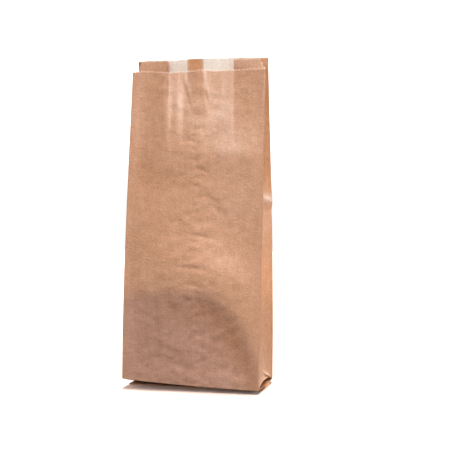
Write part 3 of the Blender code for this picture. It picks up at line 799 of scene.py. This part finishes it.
def buildBag():
    kind, side, where, along = sheetLines()
    columns = len(kind)
    points = sheetPoints(kind, side, where, fineRelief)
    rows = len(points)
    firstWall = rows - bag["wallRows"] - 1
    number = np.arange(rows)
    innerRows = number[(number < firstWall) | ((rows - 1 - number) % bag["innerStep"] == 0)]
    under = sheetPoints(kind, side, where, underRelief)[innerRows]

    def paperFaces(grid):
        cells = gridCells(len(grid), kind, side, where)
        triangles = np.vstack([cells[:, [0, 1, 2]], cells[:, [0, 2, 3]]])
        return cells, mitredOffsets(grid, triangles)

    outerCells, (outer, _) = paperFaces(points)
    innerCells, (_, inner) = paperFaces(under)
    # the seam laps on the outside of the back and fades out low down
    lap = (kind == 2) & (where > seamLeft - tiny) & (where < seamRight + tiny)
    high = ramp(points[..., 2], bag["backLift"], bag["seamFade"]) * (number >= firstWall)[:, None]
    outer *= 1 + 2 * (lap[None] * high)[..., None]  # two more halves of the paper

    outside, inside = points + outer, under + inner
    line, share, rise, spot, isTip = toothRow(along)
    upwards = alongRow(unit(points[-1] - points[-2]), line, share)
    foot = np.where(isTip, bag["tipBand"] * rise, rise - bag["cutBand"])
    belowCut = [alongRow(face[-1], line, share) + upwards * foot[:, None] for face in (outside, inside)]
    atCut = [alongRow(face[-1], line, share) + upwards * rise[:, None] for face in (outside, inside)]
    count = len(line)
    firstIn = outside.size // 3
    bandOut = firstIn + inside.size // 3
    bandIn, cutOut, cutIn = bandOut + count, bandOut + 2 * count, bandOut + 3 * count
    faces = outerCells.tolist() + (innerCells[:, ::-1] + firstIn).tolist()
    j, t = np.arange(columns), np.arange(count)
    k, u = (j + 1) % columns, (t + 1) % count
    faces += np.stack([k, j, firstIn + j, firstIn + k], axis=-1).tolist()
    topOut, topIn = (rows - 1) * columns + j, firstIn + (len(innerRows) - 1) * columns + j
    faces += zipRims(topOut, along, bandOut + t, spot, along[-1]).tolist()
    faces += zipRims(topIn, along, bandIn + t, spot, along[-1])[:, ::-1].tolist()
    for low, high in ((bandOut, cutOut), (cutOut, cutIn), (cutIn, bandIn)):
        faces += np.stack([t + low, u + low, u + high, t + high], axis=-1).tolist()
    mesh = bpy.data.meshes.new("paperBag")
    verts = np.vstack([outside.reshape(-1, 3), inside.reshape(-1, 3), *belowCut, *atCut])
    mesh.from_pydata(verts.tolist(), [], faces)
    mesh.validate()

    # how far each row lies into the folded bottom: 0 on the walls, 1 on the hem
    hem, bottom, wall = sheetRows()
    fold = np.concatenate([np.ones(len(hem)), bottom, 0 * wall])[:, None]
    # what the paper's material reads at every point: its painted light and shade
    outTones = sheetTones(points, kind, side, where, True, fold)
    inTones = sheetTones(under, kind, side, where, False, fold[innerRows])
    # painted light along the cut: the band and the cut take more of the red share, light through one layer
    edges = [alongRow(outTones[-1], line, share), alongRow(inTones[-1], line, share)]
    paintedCutLight = [edge + np.outer(np.where(isTip, *paleness), [1, 0, 0, 0])
              for paleness in (bag["bandPale"], bag["cutPale"]) for edge in edges]
    tones = np.clip(np.vstack([outTones.reshape(-1, 4), inTones.reshape(-1, 4), *paintedCutLight]), 0, 1)
    attribute = mesh.attributes.new("tones", "FLOAT_COLOR", "POINT")
    attribute.data.foreach_set("color", tones.astype(np.float32).ravel())
    dark = hollowShare(points, kind, side, where, fold)
    rim = alongRow(dark[-1][:, None], line, share)[:, 0]
    dark = np.concatenate([dark.ravel(), np.zeros(inside.size // 3), rim, 0 * rim, rim, 0 * rim])
    attribute = mesh.attributes.new("hollow", "FLOAT", "POINT")
    attribute.data.foreach_set("value", dark.astype(np.float32))
    paperBag = bpy.data.objects.new("paperBag", mesh)
    bpy.context.scene.collection.objects.link(paperBag)
    mesh.shade_smooth()
    mesh.set_sharp_from_angle(angle=bag["sharpAngle"])
    mesh.calc_loop_triangles()
    print("bag built:", len(mesh.loop_triangles), "triangles")
    return paperBag


kraft = {
    # the body colour: painted shade makes the lower bag darker than the upper
    "upper": "BB8A6B",
    "lower": "A47A64",
    "backlit": "FFC09C",  # painted light: one layer with light behind it, dim
    "litThrough": "FFF1E2",  # and in full
    # painted shade in folds, dents and at the arch's foot, and the seam's lap
    "lapped": "A97756",
    # the painted orange glow of a gusset's forward half with light behind it
    "gusset": "D2966B",
    "mottle": (7 * mm, 0.14),  # size of a patch, and how much it changes the colour
    "cloud": (30 * mm, 0.06),
    "fibre": (1.5 * mm, 0.17),
    "streak": (2.2 * mm, 0.06),
    "streakStretch": 0.03,  # drawn out by so much along the bag, the way the paper ran through the mill
    "depth": 0.5,  # how much stronger its colour is where it is darker
    "hollow": 0.8,  # how much darker the painted shade makes the folds
    "grain": (2.2 * mm, 0.0005),
    "roughness": 0.55,
    "satin": 0.06,  # how much the roughness changes with the mottling
    "gloss": 0.35,
}


# machine-glazed kraft: unbleached pulp pressed smooth on one side, which gives the eye a warm
# brown with fine fibre specks, soft cloudy mottling and a faint satin gloss
def kraftPaper():
    material = bpy.data.materials.new("kraftPaper")
    material.use_nodes = True
    tree = material.node_tree
    shader = tree.nodes["Principled BSDF"]
    spot = addNode(tree, "ShaderNodeTexCoord")
    tones = addNode(tree, "ShaderNodeAttribute", attribute_name="tones")
    share = addNode(tree, "ShaderNodeSeparateColor", {"Color": (tones, "Color")})

    # the sheet's colour with its painted light and shade from the tones; in a colour mix 0 is the share, 6
    # and 7 are the two colours, and 2 is the result
    body = addNode(tree, "ShaderNodeMix", {0: (tones, "Alpha")}, {
        6: hexColour(kraft["lower"]), 7: hexColour(kraft["upper"])}, data_type="RGBA")
    facing = addNode(tree, "ShaderNodeMix", {0: (share, "Blue"), 6: (body, 2)}, {
        7: hexColour(kraft["gusset"])}, data_type="RGBA")
    through = addNode(tree, "ShaderNodeMix", {0: (share, "Red")}, {
        6: hexColour(kraft["backlit"]), 7: hexColour(kraft["litThrough"])}, data_type="RGBA")
    litThrough = addNode(tree, "ShaderNodeMix", {
        0: (share, "Red"), 6: (facing, 2), 7: (through, 2)}, data_type="RGBA")
    shadedMix = addNode(tree, "ShaderNodeMix", {0: (share, "Green"), 6: (litThrough, 2)}, {
        7: hexColour(kraft["lapped"])}, data_type="RGBA")

    # cloudy patches, smaller mottling, fibre specks and streaks make it lighter and darker: each a
    # noise, turned to a factor about 1
    def unevenness(name, source, **shape):
        size, strength = kraft[name]
        noise = addNode(tree, "ShaderNodeTexNoise", {"Vector": source}, {"Scale": 1 / size, **shape})
        factor = addNode(tree, "ShaderNodeMath", {0: (noise, "Fac")}, {
            1: 2 * strength, 2: 1 - strength}, operation="MULTIPLY_ADD")
        return noise, factor

    cloudy = unevenness("cloud", (spot, "Object"), Detail=2.0)[1]
    mottle, mottled = unevenness("mottle", (spot, "Object"), Detail=3.0, Roughness=0.6)
    specked = unevenness("fibre", (spot, "Object"), Detail=2.0, Roughness=0.7)[1]
    drawn = addNode(tree, "ShaderNodeMapping", {"Vector": (spot, "Object")}, {
        "Scale": (1, 1, kraft["streakStretch"])})
    streaked = unevenness("streak", (drawn, "Vector"), Detail=1.0)[1]
    both = addNode(tree, "ShaderNodeMath", {0: (cloudy, 0), 1: (mottled, 0)}, operation="MULTIPLY")
    finer = addNode(tree, "ShaderNodeMath", {0: (specked, 0), 1: (streaked, 0)}, operation="MULTIPLY")
    even = addNode(tree, "ShaderNodeMath", {0: (both, 0), 1: (finer, 0)}, operation="MULTIPLY")
    # painted shade in the folds
    hollow = addNode(tree, "ShaderNodeAttribute", attribute_name="hollow")
    light = addNode(tree, "ShaderNodeMath", {0: (hollow, "Fac")}, {
        1: -kraft["hollow"], 2: 1.0}, operation="MULTIPLY_ADD")
    value = addNode(tree, "ShaderNodeMath", {0: (even, 0), 1: (light, 0)}, operation="MULTIPLY")
    # and the darker it is, the stronger its colour
    strong = addNode(tree, "ShaderNodeMath", {0: (even, 0)}, {
        1: -kraft["depth"], 2: 1 + kraft["depth"]}, operation="MULTIPLY_ADD")
    colour = addNode(tree, "ShaderNodeHueSaturation", {
        "Color": (shadedMix, 2), "Value": (value, 0), "Saturation": (strong, 0)})
    tree.links.new(colour.outputs["Color"], shader.inputs["Base Color"])

    # pressed fibres: a fine unevenness, and gloss that comes and goes with the mottling
    grain = addNode(tree, "ShaderNodeTexNoise", {"Vector": (spot, "Object")}, {
        "Scale": 1 / kraft["grain"][0], "Detail": 3.0, "Roughness": 0.65})
    bump = addNode(tree, "ShaderNodeBump", {"Height": (grain, "Fac")}, {
        "Strength": 1.0, "Distance": kraft["grain"][1]})
    tree.links.new(bump.outputs["Normal"], shader.inputs["Normal"])
    satin = addNode(tree, "ShaderNodeMapRange", {"Value": (mottle, "Fac")}, {
        "From Min": 0.3, "From Max": 0.7,
        "To Min": kraft["roughness"] - kraft["satin"], "To Max": kraft["roughness"] + kraft["satin"]})
    tree.links.new(satin.outputs["Result"], shader.inputs["Roughness"])
    shader.inputs["Specular IOR Level"].default_value = kraft["gloss"]
    return material


paperBag = buildBag()
paperBag.data.materials.append(kraftPaper())
print("paper put on")
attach(paperBag, "root")
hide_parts("paper_bag")

studio = {
    "floorSize": 3.0,
    "floorColour": "F6E3D9",
    "cameraPlace": (0.2597, -0.8956, 0.17847),
    "cameraTurn": (89.10, 0.0, 14.51),
    "lens": 72.96,
    # suns: turn, strength, softness in degrees, colour
    "overhead": ((0, 0, 0), 2.8, 40, "FFFFFF"),  # straight down
    "key": ((36, 0, 48), 2.5, 25, "FFFFFF"),  # down from above, from the right front
    # from behind, just steeper than the front leans, so that the foot stands in a narrow shade
    "floorLight": ((-6.9, 0, 0), 5.2, 9, "FFFFFF"),
    "sideLight": ((0, -66, 8), 1.9, 60, "FFD0C0"),  # low from the left, under the raised end
    # the tent's strength below, at and above eye level, and where it changes, by the look's rise
    "tentLight": (0.1, 2.1, 0.32),
    "tentRise": (-0.05, 0.10),
    "tentFall": (0.30, 0.45),
}


def buildFloor():
    s = studio["floorSize"]
    mesh = bpy.data.meshes.new("floor")
    mesh.from_pydata([(-s, -s, 0), (s, -s, 0), (s, s, 0), (-s, s, 0)], [], [(0, 1, 2, 3)])
    floor = bpy.data.objects.new("floor", mesh)
    bpy.context.scene.collection.objects.link(floor)
    material = bpy.data.materials.new("whiteFloor")
    material.use_nodes = True
    shader = material.node_tree.nodes["Principled BSDF"]
    shader.inputs["Base Color"].default_value = hexColour(studio["floorColour"])
    shader.inputs["Roughness"].default_value = 0.9
    shader.inputs["Specular IOR Level"].default_value = 0.0
    mesh.materials.append(material)
    # it neither lights the paper nor shows in its gloss
    floor.visible_diffuse = False
    floor.visible_glossy = False
    return floor


floor = buildFloor()


# a tent that is white all round at eye level and dimmer above and below
def buildTent():
    low, horizon, high = studio["tentLight"]
    world = bpy.data.worlds.new("tent")
    bpy.context.scene.world = world
    world.use_nodes = True
    tree = world.node_tree
    background = tree.nodes["Background"]
    background.inputs["Color"].default_value = hexColour("FFFFFF")
    spot = addNode(tree, "ShaderNodeTexCoord")
    axes = addNode(tree, "ShaderNodeSeparateXYZ", {"Vector": (spot, "Generated")})

    def change(places, before, after):
        return addNode(tree, "ShaderNodeMapRange", {"Value": (axes, "Z")}, {
            "From Min": places[0], "From Max": places[1], "To Min": before, "To Max": after})

    rise = change(studio["tentRise"], low, horizon)
    fall = change(studio["tentFall"], horizon, high)
    least = addNode(tree, "ShaderNodeMath", {0: (rise, "Result"), 1: (fall, "Result")}, operation="MINIMUM")
    # what the camera sees past the floor is white
    path = addNode(tree, "ShaderNodeLightPath")
    seen = addNode(tree, "ShaderNodeMath", {0: (path, "Is Camera Ray"), 1: (least, 0)}, operation="MAXIMUM")
    tree.links.new(seen.outputs[0], background.inputs["Strength"])


buildTent()


# a soft sun that lights one object alone, with the shadows of all
def addSun(name, target):
    turn, strength, softness, colour = studio[name]
    data = bpy.data.lights.new(name, "SUN")
    data.energy = strength
    data.color = hexColour(colour)[:3]
    data.angle = math.radians(softness)
    lamp = bpy.data.objects.new(name, data)
    lamp.rotation_euler = [math.radians(v) for v in turn]
    bpy.context.scene.collection.objects.link(lamp)
    lit = bpy.data.collections.new(name + "Target")
    lit.objects.link(target)
    lamp.light_linking.receiver_collection = lit


addSun("overhead", paperBag)
addSun("key", paperBag)
addSun("floorLight", floor)
addSun("sideLight", floor)
print("stage and lights set")

cameraData = bpy.data.cameras.new("camera")
cameraData.lens = studio["lens"]
cameraData.sensor_width = 36
cameraData.clip_start = 0.01
camera = bpy.data.objects.new("camera", cameraData)
camera.location = studio["cameraPlace"]
camera.rotation_euler = [math.radians(v) for v in studio["cameraTurn"]]
bpy.context.scene.collection.objects.link(camera)
bpy.context.scene.camera = camera
bpy.context.scene.view_settings.view_transform = "Standard"
print("camera set")
